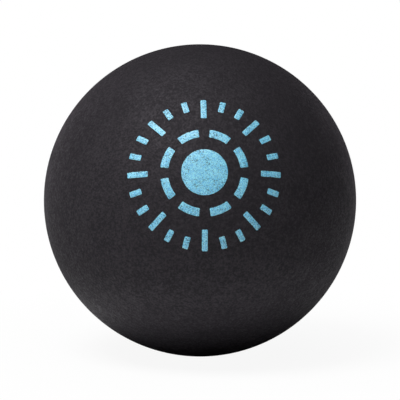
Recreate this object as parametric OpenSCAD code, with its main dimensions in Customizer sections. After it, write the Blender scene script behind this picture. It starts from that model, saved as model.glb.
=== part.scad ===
// Squash ball of the larger beginners' kind. Two moulded half shells of black rubber are cemented
// rim to rim round a sealed hollow, buffed to a matt skin and stamped with pale blue ink.
// The moulding axis lies along Y, so the seam is in the XZ plane. The main stamp faces -Y, and
// the speed dot is stamped from the other side, on the same line through the ball's centre.

/* [Ball] */
// Outside diameter of the finished ball
ball_d = 45; // [38:0.5:60]
// Thickness of the rubber wall
wall_t = 3.8; // [2.5:0.1:6]

/* [Seam] */
// Thickness of the cured cement between the two rims
cement_t = 0.2; // [0.1:0.05:0.6]
// Leg of the 45 degree bevel along the inner edge of each rim
bevel_leg = 0.7; // [0.3:0.1:1.2]
// How far the squeezed-out bead laps onto the inner wall beside the bevels
bead_lap = 0.4; // [0.2:0.1:1.5]
// How far that bead stands into the hollow
bead_h = 0.5; // [0.2:0.1:0.8]

/* [Stamp] */
// Thickness of the ink, drawn thicker than a real film so that it is a sound solid
ink_t = 0.06; // [0.04:0.01:0.2]
// Angle of the stamp's centre above the moulding axis
stamp_tilt = 18; // [0:1:30]
// Diameter of the disc at the centre of the main stamp
disc_d = 6.4; // [3:0.2:8]
// Inner radius of the ring of dashes
dash_r = 5; // [4.4:0.1:5.6]
// Width of a dash, measured outwards
dash_w = 1.1; // [0.5:0.1:1.6]
// Number of dashes
dash_count = 8; // [4:1:12]
// Share of its pitch that each dash fills
dash_share = 0.66; // [0.4:0.02:0.85]
// Radius at which all the ticks end
tick_r = 10.6; // [9:0.1:13]
// Width of a tick
tick_w = 0.8; // [0.4:0.1:1.2]
// Length of a short tick
tick_short = 1.6; // [0.8:0.1:2.4]
// Length of a long tick
tick_long = 2.8; // [1.6:0.1:3.2]
// Number of long ticks
tick_long_count = 8; // [4:1:10]
// Number of short ticks between two long ones
tick_short_between = 2; // [1:1:2]
// Diameter of the speed dot at the back
speed_dot_d = 4.6; // [2:0.2:8]

/* [Hidden] */
$fn = 120;

ball_r = ball_d / 2;
hollow_r = ball_r - wall_t;
rim_y = cement_t / 2;
// Where each bevel runs out into the inner wall
groove_y = rim_y + bevel_leg;
groove_r = sqrt(pow(hollow_r, 2) - pow(groove_y, 2));
// The bead is an arc over its chord, which ends on the inner wall
bead_y = groove_y + bead_lap;
bead_chord_r = sqrt(pow(hollow_r, 2) - pow(bead_y, 2));
bead_tip_r = hollow_r - bead_h;
bead_rise = bead_chord_r - bead_tip_r;
bead_arc_r = (pow(bead_y, 2) + pow(bead_rise, 2)) / (2 * bead_rise);
tick_count = tick_long_count * (tick_short_between + 1);

// Half planes below are drawn with the radius along X and the moulding axis along Y.
module wall_section() {
    difference() {
        circle(r = ball_r);
        circle(r = hollow_r);
    }
}

module groove_section() {
    polygon([
        [groove_r, groove_y],
        [groove_r, -groove_y],
        [groove_r + bevel_leg, -rim_y],
        [groove_r + bevel_leg, rim_y],
    ]);
}

module rim_gap_section() {
    intersection() {
        wall_section();
        translate([0, -rim_y]) square([ball_d, cement_t]);
    }
}

module bead_section() {
    intersection() {
        circle(r = hollow_r);
        translate([bead_tip_r + bead_arc_r, 0]) circle(r = bead_arc_r);
    }
}

// Turns a half plane about the moulding axis, with its positive side towards -Y.
module moulded() {
    rotate([90, 0, 0]) rotate_extrude() children();
}

module half_shell() {
    moulded() difference() {
        intersection() {
            wall_section();
            translate([0, rim_y]) square([ball_d, ball_d]);
        }
        groove_section();
    }
}

module front_half_shell() {
    color("#2c2a2d") half_shell();
}

module rear_half_shell() {
    color("#2c2a2d") mirror([0, 1, 0]) half_shell();
}

module seam_cement() {
    color("#18171a") moulded() union() {
        rim_gap_section();
        groove_section();
        bead_section();
    }
}

// Ink of the drawn outline on the ball's skin. side is 1 for the front and -1 for the back.
module inked(side) {
    rotate([90 - stamp_tilt, 0, 0]) intersection() {
        difference() {
            sphere(r = ball_r + ink_t);
            sphere(r = ball_r);
        }
        mirror([0, 0, side < 0 ? 1 : 0]) linear_extrude(ball_d) children();
    }
}

module stamp_disc() {
    color("#6cb9d6") inked(1) circle(d = disc_d);
}

// A ring section between two radii that fills a share of a full turn.
module dash(inner_r, outer_r, angle) {
    intersection() {
        difference() {
            circle(r = outer_r);
            circle(r = inner_r);
        }
        polygon([
            [0, 0],
            outer_r * 2 * [cos(angle / 2), -sin(angle / 2)],
            outer_r * 2 * [cos(angle / 2), sin(angle / 2)],
        ]);
    }
}

module stamp_dashes() {
    pitch = 360 / dash_count;
    color("#6cb9d6")
        for (i = [0 : dash_count - 1])
            inked(1) rotate((i + 1 / 2) * pitch) dash(dash_r, dash_r + dash_w, pitch * dash_share);
}

module stamp_ticks() {
    color("#6cb9d6")
        for (i = [0 : tick_count - 1]) {
            length = i % (tick_short_between + 1) == 0 ? tick_long : tick_short;
            inked(1) rotate(90 + i * 360 / tick_count)
                translate([tick_r - length, -tick_w / 2]) square([length, tick_w]);
        }
}

module speed_dot() {
    color("#6cb9d6") inked(-1) circle(d = speed_dot_d);
}

front_half_shell();
rear_half_shell();
seam_cement();
stamp_disc();
stamp_dashes();
stamp_ticks();
speed_dot();
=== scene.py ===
"""Dresses a squash ball: two buffed rubber half shells, the cement between them and a stamped dial.

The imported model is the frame, and every piece here stands where its node stands. Lengths are in
metres. The ball's centre is the origin, +Y is the moulding axis from front to back, and +Z is up.
"""

import logging
import math
from dataclasses import dataclass, field
from enum import Enum

import bmesh
import bpy
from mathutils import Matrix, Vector, noise


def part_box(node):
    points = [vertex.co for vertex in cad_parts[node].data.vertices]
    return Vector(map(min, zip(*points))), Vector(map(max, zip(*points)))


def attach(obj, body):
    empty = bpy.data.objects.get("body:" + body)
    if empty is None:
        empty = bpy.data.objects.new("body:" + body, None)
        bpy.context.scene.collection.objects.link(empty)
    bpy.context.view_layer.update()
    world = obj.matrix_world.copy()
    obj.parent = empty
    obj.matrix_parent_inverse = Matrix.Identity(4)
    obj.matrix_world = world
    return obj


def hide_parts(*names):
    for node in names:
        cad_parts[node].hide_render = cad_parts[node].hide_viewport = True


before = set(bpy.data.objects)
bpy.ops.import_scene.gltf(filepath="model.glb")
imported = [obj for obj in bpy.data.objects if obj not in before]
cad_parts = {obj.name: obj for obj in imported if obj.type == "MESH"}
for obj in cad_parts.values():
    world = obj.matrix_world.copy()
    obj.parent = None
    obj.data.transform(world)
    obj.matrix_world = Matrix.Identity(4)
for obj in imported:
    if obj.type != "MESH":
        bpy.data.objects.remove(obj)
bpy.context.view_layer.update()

MM = 0.001
BODY = "root"
# Points closer than this are one point
WELD = 0.0005 * MM
# Edges sharper than this stay crisp
SHARP = math.radians(35)
WHITE = (1.0, 1.0, 1.0, 1.0)
# How many finer copies of itself a noise carries, and how strong they are
CRISP = {"Detail": 1.5, "Roughness": 0.6}
SOFT = {"Detail": 1.0}
# A noise swings by up to a half round its middle, so twice its swing is a full one
NOISE_MIDDLE = 0.5
FULL_SWING = 2.0
# Sockets of the Mix and Compare nodes that share their name with others
COLOUR_A, COLOUR_B, COLOUR_OUT = 6, 7, 2
PLAIN_A, PLAIN_B = 2, 3
# What a node's input may be given
Feed = bpy.types.Node | bpy.types.NodeSocket | float
log = logging.getLogger("squash_ball")


class Side(Enum):
    """The two ends of the moulding axis: its sign along Y."""

    FRONT = -1
    REAR = 1


def linear(hex_colour: str) -> tuple[float, float, float, float]:
    """Turns an sRGB hex colour into Blender's linear colour.

    Args:
        hex_colour: Six hex digits after a hash sign.

    Returns:
        Red, green, blue and an alpha of 1.
    """
    shares = [int(hex_colour[i:i + 2], 16) / 255 for i in (1, 3, 5)]
    return (*(c / 12.92 if c <= 0.04045 else ((c + 0.055) / 1.055) ** 2.4 for c in shares), 1.0)


def add(tree: bpy.types.NodeTree, kind: str, *inputs: object,
        named: dict[str | int, object] | None = None, **settings: object) -> bpy.types.Node:
    """Adds one node, sets it up and joins its inputs.

    Args:
        tree: The tree that gets the node.
        kind: The node's type name.
        *inputs: Values, nodes or sockets in the order of the node's sockets. None leaves one alone.
        named: The same by socket name or number.
        **settings: The node's own settings.

    Returns:
        The new node, whose first output stands for it wherever it is given as an input.
    """
    node = tree.nodes.new(kind)
    for name, value in settings.items():
        setattr(node, name, value)
    pairs = list(zip(node.inputs, inputs))
    pairs += [(node.inputs[key], value) for key, value in (named or {}).items()]
    for socket, value in pairs:
        if isinstance(value, bpy.types.Node):
            value = value.outputs[0]
        if isinstance(value, bpy.types.NodeSocket):
            tree.links.new(value, socket)
        elif value is not None:
            socket.default_value = value
    return node


class Form:
    """A Geometry Nodes tree with named sizes, which grows one plain mesh."""

    def __init__(self, name: str) -> None:
        """Starts an empty tree.

        Args:
            name: The tree's name.
        """
        self.tree = bpy.data.node_groups.new(name, "GeometryNodeTree")
        self.tree.interface.new_socket("Geometry", in_out="OUTPUT", socket_type="NodeSocketGeometry")
        self.inlet = self.tree.nodes.new("NodeGroupInput")
        self.values: dict[str, float | int] = {}

    def add(self, kind: str, *inputs: object, named: dict[str | int, object] | None = None,
            **settings: object) -> bpy.types.Node:
        """Adds one node to this tree, as the function add does."""
        return add(self.tree, kind, *inputs, named=named, **settings)

    def size(self, name: str, value: float | int) -> bpy.types.NodeSocket:
        """Gives the tree a named input.

        Args:
            name: What the input is called.
            value: The number that this piece sets it to. A whole number makes a whole input.

        Returns:
            The socket to join other nodes to.
        """
        kind = "NodeSocketInt" if isinstance(value, int) else "NodeSocketFloat"
        socket = self.tree.interface.new_socket(name, in_out="INPUT", socket_type=kind)
        self.values[socket.identifier] = value
        return self.inlet.outputs[name]

    def grow(self, geometry: bpy.types.Node, material: bpy.types.Material) -> bpy.types.Mesh:
        """Ends the tree, evaluates it once and takes the result out of it.

        Args:
            geometry: The node whose first output is the finished shape.
            material: The finish of every face.

        Returns:
            A plain mesh.
        """
        whole = self.add("GeometryNodeRealizeInstances", geometry)
        painted = self.add("GeometryNodeSetMaterial", whole, named={"Material": material})
        self.add("NodeGroupOutput", painted)
        bare = bpy.data.objects.new(self.tree.name, bpy.data.meshes.new(self.tree.name))
        bpy.context.scene.collection.objects.link(bare)
        modifier = bare.modifiers.new(self.tree.name, "NODES")
        modifier.node_group = self.tree
        for identifier, value in self.values.items():
            modifier[identifier] = value
        graph = bpy.context.evaluated_depsgraph_get()
        mesh = bpy.data.meshes.new_from_object(bare.evaluated_get(graph), depsgraph=graph)
        bpy.data.objects.remove(bare)
        bpy.data.node_groups.remove(self.tree)
        return mesh


def finish_piece(name: str, mesh: bpy.types.Mesh, slot: str, *nodes: str) -> bpy.types.Object:
    """Closes and smooths a mesh, and makes it the piece that stands for CAD nodes.

    Args:
        name: The piece's name.
        mesh: Its mesh, with its material.
        slot: The record's material slot; not used.
        *nodes: The CAD nodes that it replaces.

    Returns:
        The piece's object, at the origin.
    """
    body = bmesh.new()
    body.from_mesh(mesh)
    bmesh.ops.remove_doubles(body, verts=body.verts, dist=WELD)
    bmesh.ops.recalc_face_normals(body, faces=body.faces)
    open_edges = sum(not edge.is_manifold for edge in body.edges)
    body.to_mesh(mesh)
    body.free()
    mesh.shade_smooth()
    mesh.set_sharp_from_angle(angle=SHARP)
    mesh.name = name
    piece = bpy.data.objects.new(name, mesh)
    bpy.context.scene.collection.objects.link(piece)
    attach(piece, BODY)
    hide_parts(*nodes)
    log.info("%s: %d faces, %d open edges, stands for %s", name, len(mesh.polygons), open_edges,
             ", ".join(nodes))
    return piece


def start_material(name: str) -> tuple[bpy.types.Material, bpy.types.NodeTree, bpy.types.NodeSocket]:
    """Starts a material.

    Args:
        name: What the material is.

    Returns:
        The material, its empty tree, and the place on the object, in metres.
    """
    material = bpy.data.materials.new(name)
    material.use_nodes = True
    tree = material.node_tree
    tree.nodes.clear()
    return material, tree, add(tree, "ShaderNodeTexCoord").outputs["Object"]


@dataclass(frozen=True)
class BuffedRubber:
    """Black butyl rubber, moulded and then buffed all over its outside.

    Buffing leaves an even, matt, charcoal skin: no gloss spot, only a broad soft sheen, with a grain
    of dull pits between torn crumbs that catch a little light. The real grain is about 0.1 mm and is
    drawn two to three times as coarse, so that it shows. The inner wall was never buffed: it is the
    darker, smoother skin that the mould gave it.
    """

    # The radius up to which the rubber is as it was moulded
    moulded_radius: float

    # The pits, the crumbs, and the skin that the cement has darkened along the seam
    dark: str = "#1d1b1e"
    light: str = "#353236"
    cement_stain: str = "#100e11"
    stain_half_width: float = 0.16 * MM
    # Three patterns from fine to broad. The cloud has the share that the other two leave
    grain: float = 0.28 * MM
    mottle: float = 0.62 * MM
    cloud: float = 3.2 * MM
    grain_share: float = 0.56
    mottle_share: float = 0.30
    # All below the low tone is pit, all above the high one is crumb
    tone_low: float = 0.425
    tone_high: float = 0.77
    pit_roughness: float = 0.82
    crumb_roughness: float = 0.49
    ior: float = 1.5
    specular_level: float = 0.35
    sheen_tint: str = "#fbf3ff"
    grain_depth: float = 0.08 * MM
    mottle_height: float = 0.6
    # The inner wall
    moulded: str = "#1a191b"
    moulded_roughness: float = 0.42
    moulded_relief: float = 0.25

    def make(self) -> bpy.types.Material:
        """Builds the material.

        Returns:
            The rubber of both half shells.
        """
        material, tree, place = start_material("buffed_butyl_rubber")
        grain = add(tree, "ShaderNodeTexNoise", named={
            "Vector": place, "Scale": 1 / self.grain, **CRISP})
        mottle = add(tree, "ShaderNodeTexNoise", named={
            "Vector": place, "Scale": 1 / self.mottle, **SOFT})
        cloud = add(tree, "ShaderNodeTexNoise", named={
            "Vector": place, "Scale": 1 / self.cloud, **SOFT})
        fine = add(tree, "ShaderNodeMath", grain, self.grain_share, operation="MULTIPLY")
        broad = add(tree, "ShaderNodeMath", mottle, self.mottle_share, fine,
                    operation="MULTIPLY_ADD")
        tone = add(tree, "ShaderNodeMath", cloud, 1 - self.grain_share - self.mottle_share, broad,
                   operation="MULTIPLY_ADD")
        spread = add(tree, "ShaderNodeMapRange", tone, self.tone_low, self.tone_high, 0.0, 1.0)
        skin = add(tree, "ShaderNodeMix", spread, data_type="RGBA",
                   named={COLOUR_A: linear(self.dark), COLOUR_B: linear(self.light)})
        across = add(tree, "ShaderNodeSeparateXYZ", place).outputs["Y"]
        off_seam = add(tree, "ShaderNodeMath", across, operation="ABSOLUTE")
        ragged = add(tree, "ShaderNodeMath", mottle, self.stain_half_width, off_seam,
                     operation="MULTIPLY_ADD")
        stain = add(tree, "ShaderNodeMapRange", ragged, self.stain_half_width,
                    2 * self.stain_half_width, 1.0, 0.0)
        colour = add(tree, "ShaderNodeMix", stain, data_type="RGBA",
                     named={COLOUR_A: skin.outputs[COLOUR_OUT],
                            COLOUR_B: linear(self.cement_stain)})
        rough = add(tree, "ShaderNodeMapRange", spread, 0.0, 1.0, self.pit_roughness,
                    self.crumb_roughness)
        depth = add(tree, "ShaderNodeVectorMath", place, operation="LENGTH").outputs["Value"]
        inside = add(tree, "ShaderNodeMath", depth, self.moulded_radius, operation="LESS_THAN")
        whole = add(tree, "ShaderNodeMix", inside, data_type="RGBA",
                    named={COLOUR_A: colour.outputs[COLOUR_OUT], COLOUR_B: linear(self.moulded)})
        finish = add(tree, "ShaderNodeMix", inside, data_type="FLOAT",
                     named={PLAIN_A: rough, PLAIN_B: self.moulded_roughness})
        height = add(tree, "ShaderNodeMath", mottle, self.mottle_height, grain,
                     operation="MULTIPLY_ADD")
        relief = add(tree, "ShaderNodeMath", inside, self.moulded_relief - 1, 1.0,
                     operation="MULTIPLY_ADD")
        bump = add(tree, "ShaderNodeBump", named={
            "Height": height, "Strength": relief, "Distance": self.grain_depth})
        shader = add(tree, "ShaderNodeBsdfPrincipled", named={
            "Base Color": whole.outputs[COLOUR_OUT], "Roughness": finish, "IOR": self.ior,
            "Specular IOR Level": self.specular_level, "Specular Tint": linear(self.sheen_tint),
            "Normal": bump})
        add(tree, "ShaderNodeOutputMaterial", shader)
        return material


@dataclass(frozen=True)
class CuredCement:
    """Rubber solution that has cured in the joint.

    It gives the eye a hairline that is a little darker and shinier than the buffed skin.
    """

    dark: str = "#0f0e10"
    light: str = "#19181b"
    lump: float = 0.6 * MM
    lump_detail: float = 3.0
    roughness: float = 0.50
    ior: float = 1.5
    lump_depth: float = 0.02 * MM

    def make(self) -> bpy.types.Material:
        """Builds the material.

        Returns:
            The cement of the seam.
        """
        material, tree, place = start_material("cured_rubber_cement")
        lump = add(tree, "ShaderNodeTexNoise", named={
            "Vector": place, "Scale": 1 / self.lump, "Detail": self.lump_detail})
        colour = add(tree, "ShaderNodeMix", lump, data_type="RGBA",
                     named={COLOUR_A: linear(self.dark), COLOUR_B: linear(self.light)})
        bump = add(tree, "ShaderNodeBump", named={"Height": lump, "Distance": self.lump_depth})
        shader = add(tree, "ShaderNodeBsdfPrincipled", named={
            "Base Color": colour.outputs[COLOUR_OUT], "Roughness": self.roughness, "IOR": self.ior,
            "Normal": bump})
        add(tree, "ShaderNodeOutputMaterial", shader)
        return material


@dataclass(frozen=True)
class StampingInk:
    """Pad-printed ink, a thin satin film on the rubber.

    It gives the eye a bright pale blue, granular because the film follows the rubber's grain: whiter
    where it is thick, darker where it is thin, and peppered with pinholes that lie closer together in
    worn places. These are drawn at 0.17 mm, a little coarser than real ones, so that they show. The
    ink shines more than the rubber, so that it pales towards the key light.
    """

    pale: str = "#a2edff"
    deep: str = "#5ac0ee"
    thin: str = "#27667f"
    grain: float = 0.15 * MM
    mottle: float = 1.1 * MM
    contrast: float = 0.10
    mottle_share: float = 0.08
    # A pinhole is where the pattern lies below the start, and above the end the ink covers
    hole: float = 0.17 * MM
    wear: float = 0.32
    hole_start: float = 0.43
    hole_end: float = 0.62
    cover_height: float = 0.3
    roughness: float = 0.40
    ior: float = 1.5
    specular_level: float = 1.0
    grain_depth: float = 0.08 * MM

    def make(self) -> bpy.types.Material:
        """Builds the material.

        Returns:
            The ink of the stamps.
        """
        material, tree, place = start_material("pad_printed_blue_ink")
        grain = add(tree, "ShaderNodeTexNoise", named={
            "Vector": place, "Scale": 1 / self.grain, **CRISP})
        mottle = add(tree, "ShaderNodeTexNoise", named={
            "Vector": place, "Scale": 1 / self.mottle, **SOFT})
        fine = add(tree, "ShaderNodeMath", grain, 1 - self.mottle_share, operation="MULTIPLY")
        tone = add(tree, "ShaderNodeMath", mottle, self.mottle_share, fine,
                   operation="MULTIPLY_ADD")
        spread = add(tree, "ShaderNodeMapRange", tone, NOISE_MIDDLE - self.contrast,
                     NOISE_MIDDLE + self.contrast, 0.0, 1.0)
        coat = add(tree, "ShaderNodeMix", spread, data_type="RGBA",
                   named={COLOUR_A: linear(self.deep), COLOUR_B: linear(self.pale)})
        # A second grain, in another place of the same kind of pattern
        aside = add(tree, "ShaderNodeVectorMath", place, (1.0, 1.0, 1.0), operation="ADD")
        pits = add(tree, "ShaderNodeTexNoise", named={
            "Vector": aside, "Scale": 1 / self.hole, **SOFT})
        worn = add(tree, "ShaderNodeMath", mottle, self.wear, pits, operation="MULTIPLY_ADD")
        cover = add(tree, "ShaderNodeMapRange", worn, self.hole_start, self.hole_end, 0.0, 1.0)
        colour = add(tree, "ShaderNodeMix", cover, data_type="RGBA",
                     named={COLOUR_A: linear(self.thin), COLOUR_B: coat.outputs[COLOUR_OUT]})
        height = add(tree, "ShaderNodeMath", cover, self.cover_height, grain,
                     operation="MULTIPLY_ADD")
        bump = add(tree, "ShaderNodeBump", named={"Height": height, "Distance": self.grain_depth})
        shader = add(tree, "ShaderNodeBsdfPrincipled", named={
            "Base Color": colour.outputs[COLOUR_OUT], "Roughness": self.roughness, "IOR": self.ior,
            "Specular IOR Level": self.specular_level, "Normal": bump})
        add(tree, "ShaderNodeOutputMaterial", shader)
        return material


@dataclass(frozen=True)
class Mould:
    """The sizes that both half shells and the cement between them share."""

    radius: float
    wall: float = 3.8 * MM
    # Half of the gap between the rims, and the leg of the bevel along their inner edge
    rim: float = 0.1 * MM
    bevel: float = 0.7 * MM

    @property
    def hollow(self) -> float:
        """The radius of the inner wall."""
        return self.radius - self.wall

    @property
    def groove_y(self) -> float:
        """How far from the seam's plane the bevel runs out into the inner wall."""
        return self.rim + self.bevel

    @property
    def groove_r(self) -> float:
        """The radius at which it does so."""
        return math.sqrt(self.hollow ** 2 - self.groove_y ** 2)


@dataclass
class HalfShell:
    """One moulded half of the ball: skin, flat rim, bevel and inner wall, as one closed shell."""

    side: Side
    mould: Mould
    columns: int = 120
    # Height and width of the buffed skin's unevenness, and how far from the seam it is full
    relief: float = 0.004 * MM
    relief_width: float = 1.2 * MM
    relief_fade: float = 1.5 * MM
    seed: float = 3.0

    def round_axis(self, form: Form, spot: Feed, reach: Feed, along: Feed) -> bpy.types.Node:
        """Puts a point at one distance from the moulding axis and at another from the seam.

        Args:
            form: The tree that it is made in.
            spot: Where the point is, which gives the way that it lies from the axis.
            reach: Its new distance from the axis.
            along: Its new distance from the seam's plane.

        Returns:
            The node that gives the new place.
        """
        level = form.add("ShaderNodeVectorMath", spot, (1.0, 0.0, 1.0), operation="MULTIPLY")
        outward = form.add("ShaderNodeVectorMath", level, operation="NORMALIZE")
        flat_part = form.add("ShaderNodeVectorMath", outward, named={"Scale": reach},
                             operation="SCALE")
        signed = form.add("ShaderNodeMath", along, float(self.side.value), operation="MULTIPLY")
        along_part = form.add("ShaderNodeCombineXYZ", 0.0, signed, 0.0)
        return form.add("ShaderNodeVectorMath", flat_part, along_part, operation="ADD")

    def dome(self, form: Form, columns: Feed, radius: Feed, edge_y: Feed) -> bpy.types.Node:
        """Half of a cube of even quads, blown up into a dome that ends at edge_y.

        Args:
            form: The tree that it is made in.
            columns: How many quads lie along each edge of the cube.
            radius: The dome's radius.
            edge_y: How far the dome's edge lies from the seam's plane.

        Returns:
            The node that places the dome's points.
        """
        count = form.add("ShaderNodeMath", columns, 1.0, operation="ADD")
        cube = form.add("GeometryNodeMeshCube", (2.0, 2.0, 2.0), count, count, count)
        spot = form.add("GeometryNodeInputPosition")
        side_y = form.add("ShaderNodeMath", form.add("ShaderNodeSeparateXYZ", spot).outputs["Y"],
                          float(self.side.value), operation="MULTIPLY")
        other = form.add("ShaderNodeMath", side_y, 0.0, operation="LESS_THAN")
        half = form.add("GeometryNodeDeleteGeometry", cube, other, domain="FACE")
        # Equal steps across the cube's faces become equal angles
        angle = form.add("ShaderNodeVectorMath", spot, named={"Scale": math.pi / 4},
                         operation="SCALE")
        spread = form.add("ShaderNodeVectorMath", angle, operation="TANGENT")
        ray = form.add("ShaderNodeVectorMath", spread, operation="NORMALIZE")
        ray_y = form.add("ShaderNodeSeparateXYZ", ray).outputs["Y"]
        lift = form.add("ShaderNodeMath", ray_y, operation="ABSOLUTE")
        height = form.add("ShaderNodeMath", lift, operation="ARCSINE")
        # The latitudes are drawn in a little, so that the lowest row lies at edge_y
        edge_share = form.add("ShaderNodeMath", edge_y, radius, operation="DIVIDE")
        edge_angle = form.add("ShaderNodeMath", edge_share, operation="ARCSINE")
        squeeze = form.add("ShaderNodeMath", edge_angle, -2 / math.pi, 1.0,
                           operation="MULTIPLY_ADD")
        latitude = form.add("ShaderNodeMath", height, squeeze, edge_angle,
                            operation="MULTIPLY_ADD")
        reach = form.add("ShaderNodeMath", latitude, operation="COSINE")
        rise = form.add("ShaderNodeMath", latitude, operation="SINE")
        unit = self.round_axis(form, ray, reach, rise)
        place = form.add("ShaderNodeVectorMath", unit, named={"Scale": radius}, operation="SCALE")
        return form.add("GeometryNodeSetPosition", half, named={"Position": place})

    def worn(self, form: Form, dome: bpy.types.Node) -> bpy.types.Node:
        """The slight unevenness that buffing leaves, which dies out towards the seam.

        Args:
            form: The tree that it is made in.
            dome: The smooth skin.

        Returns:
            The node that moves the skin's points.
        """
        spot = form.add("GeometryNodeInputPosition")
        scale = form.add("ShaderNodeMath", 1.0, form.size("Relief width", self.relief_width),
                         operation="DIVIDE")
        bumps = form.add("ShaderNodeTexNoise", noise_dimensions="4D", named={
            "Vector": spot, "W": form.size("Relief seed", self.seed), "Scale": scale, **SOFT})
        swing = form.add("ShaderNodeMath", bumps, NOISE_MIDDLE, operation="SUBTRACT")
        depth = form.add("ShaderNodeMath", swing, form.size("Relief", self.relief),
                         operation="MULTIPLY")
        off_seam = form.add("ShaderNodeMath",
                            form.add("ShaderNodeSeparateXYZ", spot).outputs["Y"],
                            operation="ABSOLUTE")
        fade = form.add("ShaderNodeMapRange", off_seam, self.mould.rim, self.relief_fade, 0.0,
                        FULL_SWING)
        step = form.add("ShaderNodeMath", depth, fade, operation="MULTIPLY")
        outward = form.add("ShaderNodeVectorMath", spot, operation="NORMALIZE")
        shift = form.add("ShaderNodeVectorMath", outward, named={"Scale": step},
                         operation="SCALE")
        return form.add("GeometryNodeSetPosition", dome, named={"Offset": shift})

    def ledge(self, form: Form, mesh: bpy.types.Node, edges: Feed, radius: Feed,
              edge_y: Feed) -> tuple[bpy.types.Node, bpy.types.Node]:
        """Draws the open edge on to another circle round the moulding axis.

        Args:
            form: The tree that it is made in.
            mesh: The shell so far.
            edges: Which edges are drawn on.
            radius: The new circle's radius.
            edge_y: How far the new circle lies from the seam's plane.

        Returns:
            The extrude node and the node that places its new points.
        """
        strip = form.add("GeometryNodeExtrudeMesh", mesh, edges, mode="EDGES",
                         named={"Offset Scale": 0.0})
        place = self.round_axis(form, form.add("GeometryNodeInputPosition"), radius, edge_y)
        placed = form.add("GeometryNodeSetPosition", strip,
                          named={"Selection": strip.outputs["Top"], "Position": place})
        return strip, placed

    def build(self, material: bpy.types.Material) -> bpy.types.Object:
        """Makes the half shell.

        Args:
            material: The buffed rubber.

        Returns:
            The piece.
        """
        name = f"{self.side.name.lower()}_half_shell"
        form = Form(name)
        columns = form.size("Columns", self.columns)
        radius = form.size("Radius", self.mould.radius)
        hollow = form.size("Hollow radius", self.mould.hollow)
        rim = form.size("Rim height", self.mould.rim)
        groove_height = form.size("Groove height", self.mould.groove_y)
        groove_radius = form.size("Groove radius", self.mould.groove_r)
        rim_radius = form.size("Inner rim radius", self.mould.groove_r + self.mould.bevel)
        skin = self.worn(form, self.dome(form, columns, radius, rim))
        neighbours = form.add("GeometryNodeInputMeshEdgeNeighbors")
        open_edge = form.add("FunctionNodeCompare", data_type="INT", operation="EQUAL",
                             named={PLAIN_A: neighbours, PLAIN_B: 1})
        flat, at_rim = self.ledge(form, skin, open_edge, rim_radius, rim)
        _, at_groove = self.ledge(form, at_rim, flat.outputs["Top"], groove_radius, groove_height)
        inner = form.add("GeometryNodeFlipFaces", self.dome(form, columns, hollow, groove_height))
        both = form.add("GeometryNodeJoinGeometry")
        for part in (at_groove, inner):
            form.tree.links.new(part.outputs[0], both.inputs[0])
        return finish_piece(f"{name}_skin", form.grow(both, material), "buffed_rubber", name)


@dataclass
class SeamCement:
    """The cement ring: a film between the rims, the fill of both bevels and the inner bead."""

    mould: Mould
    bead_lap: float = 0.4 * MM
    bead_height: float = 0.5 * MM
    recess: float = 0.015 * MM
    lump: float = 0.08 * MM
    lump_width: float = 1.6 * MM
    bead_points: int = 13
    steps: int = 720

    def section(self) -> list[tuple[float, float, bool]]:
        """The outline of the ring's cross section.

        Returns:
            Points as radius, place along Y, and whether the point lies on the free face of the bead.
        """
        mould = self.mould
        bead_y = mould.groove_y + self.bead_lap
        chord_r = math.sqrt(mould.hollow ** 2 - bead_y ** 2)
        rise = chord_r - (mould.hollow - self.bead_height)
        arc_r = (bead_y ** 2 + rise ** 2) / (2 * rise)
        half_turn = math.asin(bead_y / arc_r)
        half = [(mould.radius - self.recess, mould.rim, False),
                (mould.groove_r + mould.bevel, mould.rim, False),
                (mould.groove_r, mould.groove_y, False)]
        bead = []
        for i in range(self.bead_points):
            turn = half_turn * (1 - 2 * i / (self.bead_points - 1))
            at_end = i in (0, self.bead_points - 1)
            bead.append((chord_r - rise + arc_r * (1 - math.cos(turn)), arc_r * math.sin(turn),
                         not at_end))
        mirrored = [(r, -y, free) for r, y, free in reversed(half)]
        return half + bead + mirrored

    def build(self, material: bpy.types.Material) -> bpy.types.Object:
        """Makes the ring, with lumps on the free face of its bead.

        Args:
            material: The cured cement.

        Returns:
            The piece.
        """
        section = self.section()
        points = []
        for step in range(self.steps):
            turn = 2 * math.pi * step / self.steps
            for radius, along, free in section:
                spot = Vector((radius * math.cos(turn), along, radius * math.sin(turn)))
                swell = noise.noise(spot / self.lump_width) * self.lump if free else 0.0
                inward = Vector((math.cos(turn), 0.0, math.sin(turn))) * swell
                points.append(spot - inward)
        count = len(section)
        faces = [
            (step * count + i, step * count + (i + 1) % count,
             (step + 1) % self.steps * count + (i + 1) % count, (step + 1) % self.steps * count + i)
            for step in range(self.steps) for i in range(count)
        ]
        mesh = bpy.data.meshes.new("seam_cement_ring")
        mesh.from_pydata(points, [], faces)
        mesh.materials.append(material)
        return finish_piece("seam_cement_ring", mesh, "rubber_cement", "seam_cement")


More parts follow.
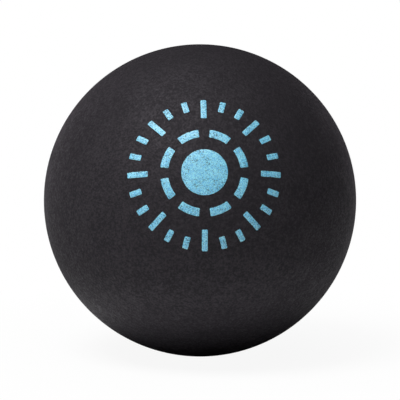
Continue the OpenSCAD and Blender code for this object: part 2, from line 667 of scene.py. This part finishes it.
@dataclass
class InkFilm:
    """The rules that all the stamps share: a flat motif becomes a thin closed film on the skin."""

    radius: float
    # The angle of the stamp's axis above the moulding axis
    tilt: float = math.radians(18)
    # How far the film stands out of the skin, and how far it reaches into it
    thickness: float = 0.05 * MM
    sink: float = 0.04 * MM
    cell: float = 0.1 * MM
    corner: float = 0.14 * MM
    # Over the width of the taper the film thins out to this share at its edge
    taper: float = 0.16 * MM
    edge_share: float = 0.35
    ragged: float = 0.05 * MM
    ragged_width: float = 0.28 * MM

    def patch(self, form: Form, length: float, width: float, corner: float,
              label: str) -> bpy.types.Node:
        """A flat bar with round corners, of even cells, which knows how near its edge each point is.

        Args:
            form: The tree that it is made in.
            length: The bar's size along X.
            width: Its size along Y.
            corner: The radius of its corners, half of the size for a disc.
            label: What the tree's inputs for this bar are called.

        Returns:
            The node that ends the bar.
        """
        size_x = form.size(f"{label} length", length)
        size_y = form.size(f"{label} width", width)
        grid = form.add("GeometryNodeMeshGrid", size_x, size_y,
                        form.size(f"{label} cells along", round(length / self.cell) + 1),
                        form.size(f"{label} cells across", round(width / self.cell) + 1))
        spot = form.add("GeometryNodeInputPosition")
        away = form.add("ShaderNodeVectorMath", spot, operation="ABSOLUTE")
        sizes = form.add("ShaderNodeCombineXYZ", size_x, size_y, 1.0)
        halves = form.add("ShaderNodeVectorMath", sizes, named={"Scale": 0.5}, operation="SCALE")
        room = form.add("ShaderNodeSeparateXYZ",
                        form.add("ShaderNodeVectorMath", halves, away, operation="SUBTRACT"))
        nearest = form.add("ShaderNodeMath", room.outputs["X"], room.outputs["Y"],
                           operation="MINIMUM")
        depth = form.add("ShaderNodeMapRange", nearest, 0.0, self.taper, 0.0, 1.0)
        known = form.add("GeometryNodeStoreNamedAttribute", grid, data_type="FLOAT",
                         domain="POINT", named={"Name": "depth", "Value": depth})
        # Each square corner is drawn in to a quarter of a disc
        radius = form.size(f"{label} corner", corner)
        inset = form.add("ShaderNodeVectorMath", halves,
                         form.add("ShaderNodeCombineXYZ", radius, radius, radius),
                         operation="SUBTRACT")
        over = form.add("ShaderNodeVectorMath", away, inset, operation="SUBTRACT")
        beyond = form.add("ShaderNodeVectorMath", over, (0.0, 0.0, 0.0), operation="MAXIMUM")
        excess = form.add("ShaderNodeVectorMath", beyond, (1.0, 1.0, 0.0), operation="MULTIPLY")
        parts = form.add("ShaderNodeSeparateXYZ", excess)
        largest = form.add("ShaderNodeMath", parts.outputs["X"], parts.outputs["Y"],
                           operation="MAXIMUM")
        length_of = form.add("ShaderNodeVectorMath", excess, operation="LENGTH")
        draw = form.add("ShaderNodeMath", largest, length_of.outputs["Value"],
                        operation="DIVIDE")
        round_part = form.add("ShaderNodeVectorMath", excess, named={"Scale": draw},
                              operation="SCALE")
        straight = form.add("ShaderNodeVectorMath", away, inset, operation="MINIMUM")
        rounded = form.add("ShaderNodeVectorMath", straight, round_part, operation="ADD")
        sign = form.add("ShaderNodeVectorMath", spot, operation="SIGN")
        place = form.add("ShaderNodeVectorMath", rounded, sign, operation="MULTIPLY")
        return form.add("GeometryNodeSetPosition", known, named={"Position": place})

    def ring(self, form: Form, motif: bpy.types.Node, count: Feed, start: float, pitch: float,
             keep: Feed | None = None) -> bpy.types.Node:
        """Repeats a motif round the stamp's centre.

        Args:
            form: The tree that it is made in.
            motif: One flat motif, in its place along +X.
            count: How many places the ring has.
            start: The angle of the first place.
            pitch: The angle from one place to the next.
            keep: Which places are filled, or None for all.

        Returns:
            The node that makes the instances real.
        """
        places = form.add("GeometryNodePoints", count)
        index = form.add("GeometryNodeInputIndex")
        turn = form.add("ShaderNodeMath", index, pitch, start, operation="MULTIPLY_ADD")
        euler = form.add("ShaderNodeCombineXYZ", 0.0, 0.0, turn)
        rotation = form.add("FunctionNodeEulerToRotation", euler)
        spots = form.add("GeometryNodeInstanceOnPoints", places, named={
            "Selection": True if keep is None else keep, "Instance": motif,
            "Rotation": rotation})
        return form.add("GeometryNodeRealizeInstances", spots)

    def wrap(self, form: Form, flat: bpy.types.Node, side: Side) -> bpy.types.Node:
        """Roughens the motif's outline, lays it on the ball and gives it its thickness.

        Args:
            form: The tree that it is made in.
            flat: The flat motif.
            side: Which end of the stamp's axis it lies on.

        Returns:
            The node that ends the closed film.
        """
        skin_r = form.size("Skin radius", self.radius)
        thickness = form.size("Ink thickness", self.thickness)
        sink = form.size("Ink sink", self.sink)
        spot = form.add("GeometryNodeInputPosition")
        scale = form.add("ShaderNodeMath", 1.0, form.size("Ragged width", self.ragged_width),
                         operation="DIVIDE")
        wander = form.add("ShaderNodeTexNoise", noise_dimensions="4D", named={
            "Vector": spot, "W": form.size("Ragged seed", float(side.value)), "Scale": scale})
        centred = form.add("ShaderNodeVectorMath", wander.outputs["Color"], (NOISE_MIDDLE,) * 3,
                           operation="SUBTRACT")
        in_plane = form.add("ShaderNodeVectorMath", centred, (FULL_SWING, FULL_SWING, 0.0),
                            operation="MULTIPLY")
        shift = form.add("ShaderNodeVectorMath", in_plane,
                         named={"Scale": form.size("Ragged", self.ragged)}, operation="SCALE")
        roughened = form.add("GeometryNodeSetPosition", flat, named={"Offset": shift})
        bottom_r = form.add("ShaderNodeMath", skin_r, sink, operation="SUBTRACT")
        bottom = self.lay(form, roughened, bottom_r, side)
        under = form.add("GeometryNodeFlipFaces", bottom)
        raised = form.add("GeometryNodeExtrudeMesh", bottom, mode="FACES",
                          named={"Offset Scale": 0.0, "Individual": False})
        depth = form.add("GeometryNodeInputNamedAttribute", data_type="FLOAT",
                         named={"Name": "depth"})
        share = form.add("ShaderNodeMapRange", depth, 0.0, 1.0, self.edge_share, 1.0)
        film = form.add("ShaderNodeMath", share, thickness, operation="MULTIPLY")
        top_r = form.add("ShaderNodeMath", skin_r, film, operation="ADD")
        top = self.lay(form, raised, top_r, side, raised.outputs["Top"])
        both = form.add("GeometryNodeJoinGeometry")
        for part in (top, under):
            form.tree.links.new(part.outputs[0], both.inputs[0])
        closed = form.add("GeometryNodeMergeByDistance", both, named={"Distance": WELD})
        lean = form.add("ShaderNodeCombineXYZ", form.size("Stamp lean", math.pi / 2 - self.tilt),
                        0.0, 0.0)
        return form.add("GeometryNodeTransform", closed, named={"Rotation": lean})

    def lay(self, form: Form, mesh: bpy.types.Node, radius: Feed, side: Side,
            keep: Feed | None = None) -> bpy.types.Node:
        """Drops points along the stamp's axis on to a sphere.

        Args:
            form: The tree that it is made in.
            mesh: What is moved.
            radius: The sphere's radius.
            side: Which end of the stamp's axis the points drop to.
            keep: Which points move, or None for all.

        Returns:
            The node that moves them.
        """
        spot = form.add("GeometryNodeInputPosition")
        parts = form.add("ShaderNodeSeparateXYZ", spot)
        level = form.add("ShaderNodeVectorMath", spot, (1.0, 1.0, 0.0), operation="MULTIPLY")
        square = form.add("ShaderNodeVectorMath", level, level, operation="DOT_PRODUCT")
        whole = form.add("ShaderNodeMath", radius, 2.0, operation="POWER")
        left = form.add("ShaderNodeMath", whole, square.outputs["Value"], operation="SUBTRACT")
        height = form.add("ShaderNodeMath", left, operation="SQRT")
        # The rear stamp lies on the other end of the same axis, so its height is turned round
        signed = form.add("ShaderNodeMath", height, -float(side.value), operation="MULTIPLY")
        place = form.add("ShaderNodeCombineXYZ", parts.outputs["X"], parts.outputs["Y"], signed)
        return form.add("GeometryNodeSetPosition", mesh, named={
            "Selection": True if keep is None else keep, "Position": place})


@dataclass
class Dial:
    """The generic dial stamped on the front, and the plain speed dot at the back."""

    film: InkFilm
    disc: float = 6.4 * MM
    dash_inner: float = 5.0 * MM
    dash_width: float = 1.1 * MM
    dash_count: int = 8
    # The share of its pitch that each dash fills
    dash_share: float = 0.66
    tick_outer: float = 10.6 * MM
    tick_width: float = 0.8 * MM
    tick_short: float = 1.6 * MM
    tick_long: float = 2.8 * MM
    # Every third tick is a long one
    tick_every: int = 3
    tick_count: int = 24
    dot: float = 4.6 * MM

    def build_disc(self, material: bpy.types.Material, node: str, size: float,
                   side: Side) -> bpy.types.Object:
        """Makes one round spot of ink.

        Args:
            material: The ink.
            node: The CAD node that it stands for.
            size: Its diameter.
            side: Which end of the stamp's axis it lies on.

        Returns:
            The piece.
        """
        form = Form(node)
        flat = self.film.patch(form, size, size, size / 2, "Disc")
        mesh = form.grow(self.film.wrap(form, flat, side), material)
        return finish_piece(f"{node}_ink", mesh, "stamping_ink", node)

    def build_dashes(self, material: bpy.types.Material) -> bpy.types.Object:
        """Makes the ring of bent dashes.

        Args:
            material: The ink.

        Returns:
            The piece.
        """
        form = Form("stamp_dashes")
        pitch = 2 * math.pi / self.dash_count
        middle = self.dash_inner + self.dash_width / 2
        bar = self.film.patch(form, middle * pitch * self.dash_share, self.dash_width,
                              self.film.corner, "Dash")
        parts = form.add("ShaderNodeSeparateXYZ", form.add("GeometryNodeInputPosition"))
        ring_r = form.size("Dash ring radius", middle)
        angle = form.add("ShaderNodeMath", parts.outputs["X"], ring_r, operation="DIVIDE")
        reach = form.add("ShaderNodeMath", parts.outputs["Y"], ring_r, operation="ADD")
        cosine = form.add("ShaderNodeMath", angle, operation="COSINE")
        sine = form.add("ShaderNodeMath", angle, operation="SINE")
        place = form.add("ShaderNodeCombineXYZ",
                         form.add("ShaderNodeMath", reach, cosine, operation="MULTIPLY"),
                         form.add("ShaderNodeMath", reach, sine, operation="MULTIPLY"), 0.0)
        bent = form.add("GeometryNodeSetPosition", bar, named={"Position": place})
        ring = self.film.ring(form, bent, form.size("Dashes", self.dash_count), pitch / 2, pitch)
        mesh = form.grow(self.film.wrap(form, ring, Side.FRONT), material)
        return finish_piece("stamp_dashes_ink", mesh, "stamping_ink", "stamp_dashes")

    def build_ticks(self, material: bpy.types.Material) -> bpy.types.Object:
        """Makes the outer ring of long and short ticks.

        Args:
            material: The ink.

        Returns:
            The piece.
        """
        form = Form("stamp_ticks")
        count = form.size("Ticks", self.tick_count)
        pitch = 2 * math.pi / self.tick_count
        index = form.add("GeometryNodeInputIndex")
        # The beat is 0 at a long tick, and 1 or more at a short one
        beat = form.add("ShaderNodeMath", index, float(self.tick_every), operation="MODULO")
        both = form.add("GeometryNodeJoinGeometry")
        for label, length, test in (("Long tick", self.tick_long, "LESS_THAN"),
                                    ("Short tick", self.tick_short, "GREATER_THAN")):
            bar = self.film.patch(form, length, self.tick_width, self.film.corner, label)
            out = form.add("ShaderNodeCombineXYZ", self.tick_outer - length / 2, 0.0, 0.0)
            placed = form.add("GeometryNodeTransform", bar, named={"Translation": out})
            chosen = form.add("ShaderNodeMath", beat, 0.5, operation=test)
            ring = self.film.ring(form, placed, count, math.pi / 2, pitch, chosen)
            form.tree.links.new(ring.outputs[0], both.inputs[0])
        mesh = form.grow(self.film.wrap(form, both, Side.FRONT), material)
        return finish_piece("stamp_ticks_ink", mesh, "stamping_ink", "stamp_ticks")


def direction(azimuth: float, elevation: float) -> Vector:
    """The way from the ball to a place round it.

    Args:
        azimuth: Degrees from the front, towards the right.
        elevation: Degrees above the horizon.

    Returns:
        A unit vector.
    """
    turn = math.radians(azimuth)
    lift = math.radians(elevation)
    return Vector((math.sin(turn) * math.cos(lift), -math.cos(turn) * math.cos(lift),
                   math.sin(lift)))


@dataclass(frozen=True)
class SoftLight:
    """One round soft box, aimed at the ball."""

    name: str
    azimuth: float
    elevation: float
    power: float
    colour: str = "#ffffff"
    distance: float = 600 * MM
    size: float = 300 * MM

    def build(self) -> bpy.types.Object:
        """Hangs the light. Its angles are the view's: azimuth 0 lies in front, 90 on the right.

        Returns:
            The light's object.
        """
        lamp = bpy.data.lights.new(self.name, "AREA")
        lamp.shape = "DISK"
        lamp.size = self.size
        lamp.energy = self.power
        lamp.color = linear(self.colour)[:3]
        unit = bpy.data.objects.new(self.name, lamp)
        back = direction(self.azimuth, self.elevation)
        unit.location = back * self.distance
        unit.rotation_euler = back.to_track_quat("Z", "Y").to_euler()
        unit.visible_camera = False
        bpy.context.scene.collection.objects.link(unit)
        return unit


@dataclass
class Studio:
    """The floor, the lights and the camera."""

    radius: float
    camera_azimuth: float = -1.7
    camera_elevation: float = 8.0
    camera_distance: float = 450 * MM
    # The nearest and the farthest that the lens sees, as shares of that distance
    clip: tuple[float, float] = (0.1, 20.0)
    # The image's width, the ball's radius in it, and how far its centre lies below the image's
    image_px: float = 400.0
    ball_px: float = 156.2
    ball_low_px: float = 0.4
    sensor: float = 36.0
    floor_half: float = 1.5
    floor_colour: str = "#f9f9f9"
    # The floor as the ball sees it: painted shade up to this radius, and a glowing ring of painted light
    painted_shade_colour: str = "#2b2b2b"
    painted_shade_radius: float = 46 * MM
    ring_centre: tuple[float, float] = (3 * MM, 0.0)
    ring_inner: float = 20.4 * MM
    ring_outer: float = 34 * MM
    ring_blur: float = 1 * MM
    ring_shine: float = 0.92
    ring_lean: float = 0.62
    ring_azimuth: float = -30.0
    # The floor as the camera sees it: this bright, with this share of the real shadow
    floor_glow: float = 1.0
    shadow_share: float = 0.08
    shadow_reach: float = 60 * MM
    world_strength: float = 0.004
    lights: list[SoftLight] = field(default_factory=lambda: [
        SoftLight("key_softbox", -43.0, 62.0, 3.35),
        SoftLight("top_softbox", 0.0, 75.0, 0.28),
        SoftLight("left_rim_light", -149.0, 5.0, 0.30, "#fff2ff"),
        SoftLight("right_rim_light", 146.0, 5.0, 0.225, "#fff2ff"),
        SoftLight("left_fill", -76.0, 5.0, 0.30),
    ])

    def build_camera(self) -> None:
        """Sets up the camera at the photograph's angle, aimed so that the ball fills the same circle."""
        lens = bpy.data.cameras.new("camera")
        lens.sensor_width = self.sensor
        spread = math.tan(math.asin(self.radius / self.camera_distance))
        lens.lens = self.ball_px / self.image_px * self.sensor / spread
        lens.clip_start, lens.clip_end = (share * self.camera_distance for share in self.clip)
        camera = bpy.data.objects.new("camera", lens)
        back = direction(self.camera_azimuth, self.camera_elevation)
        aim = Vector((0.0, 0.0, self.ball_low_px / self.ball_px * self.radius))
        camera.location = back * self.camera_distance + aim
        camera.rotation_euler = back.to_track_quat("Z", "Y").to_euler()
        bpy.context.scene.collection.objects.link(camera)
        bpy.context.scene.camera = camera

    def lit_from_below(self, tree: bpy.types.NodeTree, place: bpy.types.NodeSocket,
                       away: bpy.types.NodeSocket, board: bpy.types.Node) -> bpy.types.Node:
        """The floor as the ball sees it, which gives its lower half the photograph's shading.

        The floor round the ball is given a dark colour as painted shade, but for a ring that glows by
        itself as painted light. The glow is brightest on the key light's side.

        Args:
            tree: The floor's material tree.
            place: The place on the floor.
            away: How far that lies from the point that the ball touches.
            board: The plain white floor further out.

        Returns:
            The node that joins shade, ring and board.
        """
        # Painted shade: to the ball, the floor close round it is a dark colour where the real floor is
        # white
        shade = add(tree, "ShaderNodeBsdfDiffuse", linear(self.painted_shade_colour))
        clear = add(tree, "ShaderNodeMath", away, self.painted_shade_radius, operation="GREATER_THAN")
        base = add(tree, "ShaderNodeMixShader", clear, shade, board)
        # Painted light: a ring of the floor glows by itself, more strongly on the key light's side
        off_ring = add(tree, "ShaderNodeVectorMath", place, (*self.ring_centre, -self.radius),
                       operation="DISTANCE").outputs["Value"]
        rise = add(tree, "ShaderNodeMapRange", off_ring, self.ring_inner - self.ring_blur,
                   self.ring_inner + self.ring_blur, 0.0, 1.0)
        fall = add(tree, "ShaderNodeMapRange", off_ring, self.ring_outer - self.ring_blur,
                   self.ring_outer + self.ring_blur, 1.0, 0.0)
        middle = (self.ring_inner + self.ring_outer) / 2
        forth = add(tree, "ShaderNodeVectorMath", place, direction(self.ring_azimuth, 0.0),
                    operation="DOT_PRODUCT").outputs["Value"]
        power = add(tree, "ShaderNodeMapRange", forth, -middle, middle,
                    self.ring_shine * (1 - self.ring_lean), self.ring_shine * (1 + self.ring_lean))
        ring = add(tree, "ShaderNodeMath", rise, fall, operation="MULTIPLY")
        strength = add(tree, "ShaderNodeMath", ring, power, operation="MULTIPLY")
        shine = add(tree, "ShaderNodeEmission", WHITE, strength)
        return add(tree, "ShaderNodeAddShader", base, shine)

    def build_floor(self) -> None:
        """Lays the floor under the ball: near white to the eye, with a soft shadow."""
        half = self.floor_half
        mesh = bpy.data.meshes.new("floor")
        corners = [(x * half, y * half, -self.radius)
                   for x, y in ((-1, -1), (1, -1), (1, 1), (-1, 1))]
        mesh.from_pydata(corners, [], [(0, 1, 2, 3)])
        material, tree, place = start_material("white_floor")
        away = add(tree, "ShaderNodeVectorMath", place, (0.0, 0.0, -self.radius),
                   operation="DISTANCE").outputs["Value"]
        board = add(tree, "ShaderNodeBsdfDiffuse", linear(self.floor_colour))
        glow = add(tree, "ShaderNodeEmission", WHITE, self.floor_glow)
        # The shadow is seen near the ball only, so that the floor runs out into pure white
        share = add(tree, "ShaderNodeMapRange", away, self.radius / 2, self.shadow_reach,
                    self.shadow_share, 0.0)
        seen = add(tree, "ShaderNodeMixShader", share, glow, board)
        path = add(tree, "ShaderNodeLightPath")
        by_ray = add(tree, "ShaderNodeMixShader", path.outputs["Is Camera Ray"],
                     self.lit_from_below(tree, place, away, board), seen)
        below = add(tree, "ShaderNodeNewGeometry").outputs["Backfacing"]
        one_way = add(tree, "ShaderNodeMixShader", below, by_ray,
                      add(tree, "ShaderNodeBsdfTransparent"))
        add(tree, "ShaderNodeOutputMaterial", one_way)
        mesh.materials.append(material)
        floor = bpy.data.objects.new("floor", mesh)
        bpy.context.scene.collection.objects.link(floor)

    def build_world(self) -> None:
        """Sets a white surround to the eye, which lights the ball only a little."""
        world = bpy.data.worlds.new("studio")
        world.use_nodes = True
        tree = world.node_tree
        tree.nodes.clear()
        dim = add(tree, "ShaderNodeBackground", WHITE, self.world_strength)
        bright = add(tree, "ShaderNodeBackground", WHITE, 1.0)
        path = add(tree, "ShaderNodeLightPath")
        mixed = add(tree, "ShaderNodeMixShader", path.outputs["Is Camera Ray"], dim, bright)
        add(tree, "ShaderNodeOutputWorld", mixed)
        bpy.context.scene.world = world

    def build(self) -> None:
        """Sets up the whole studio."""
        self.build_camera()
        self.build_floor()
        self.build_world()
        for light in self.lights:
            light.build()
        bpy.context.scene.view_settings.view_transform = "Standard"
        log.info("studio: camera, floor and %d lights", len(self.lights))


def main() -> None:
    """Builds the ball, piece by piece, and then the studio round it."""
    logging.basicConfig(level=logging.INFO, format="%(name)s: %(message)s")
    mould = Mould(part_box("rear_half_shell")[1][0])
    rubber = BuffedRubber(mould.hollow + mould.bevel).make()
    ink = StampingInk().make()
    for side in Side:
        HalfShell(side, mould).build(rubber)
    SeamCement(mould).build(CuredCement().make())
    dial = Dial(InkFilm(mould.radius))
    dial.build_disc(ink, "stamp_disc", dial.disc, Side.FRONT)
    dial.build_dashes(ink)
    dial.build_ticks(ink)
    dial.build_disc(ink, "speed_dot", dial.dot, Side.REAR)
    Studio(mould.radius).build()


if __name__ == "__main__":
    main()
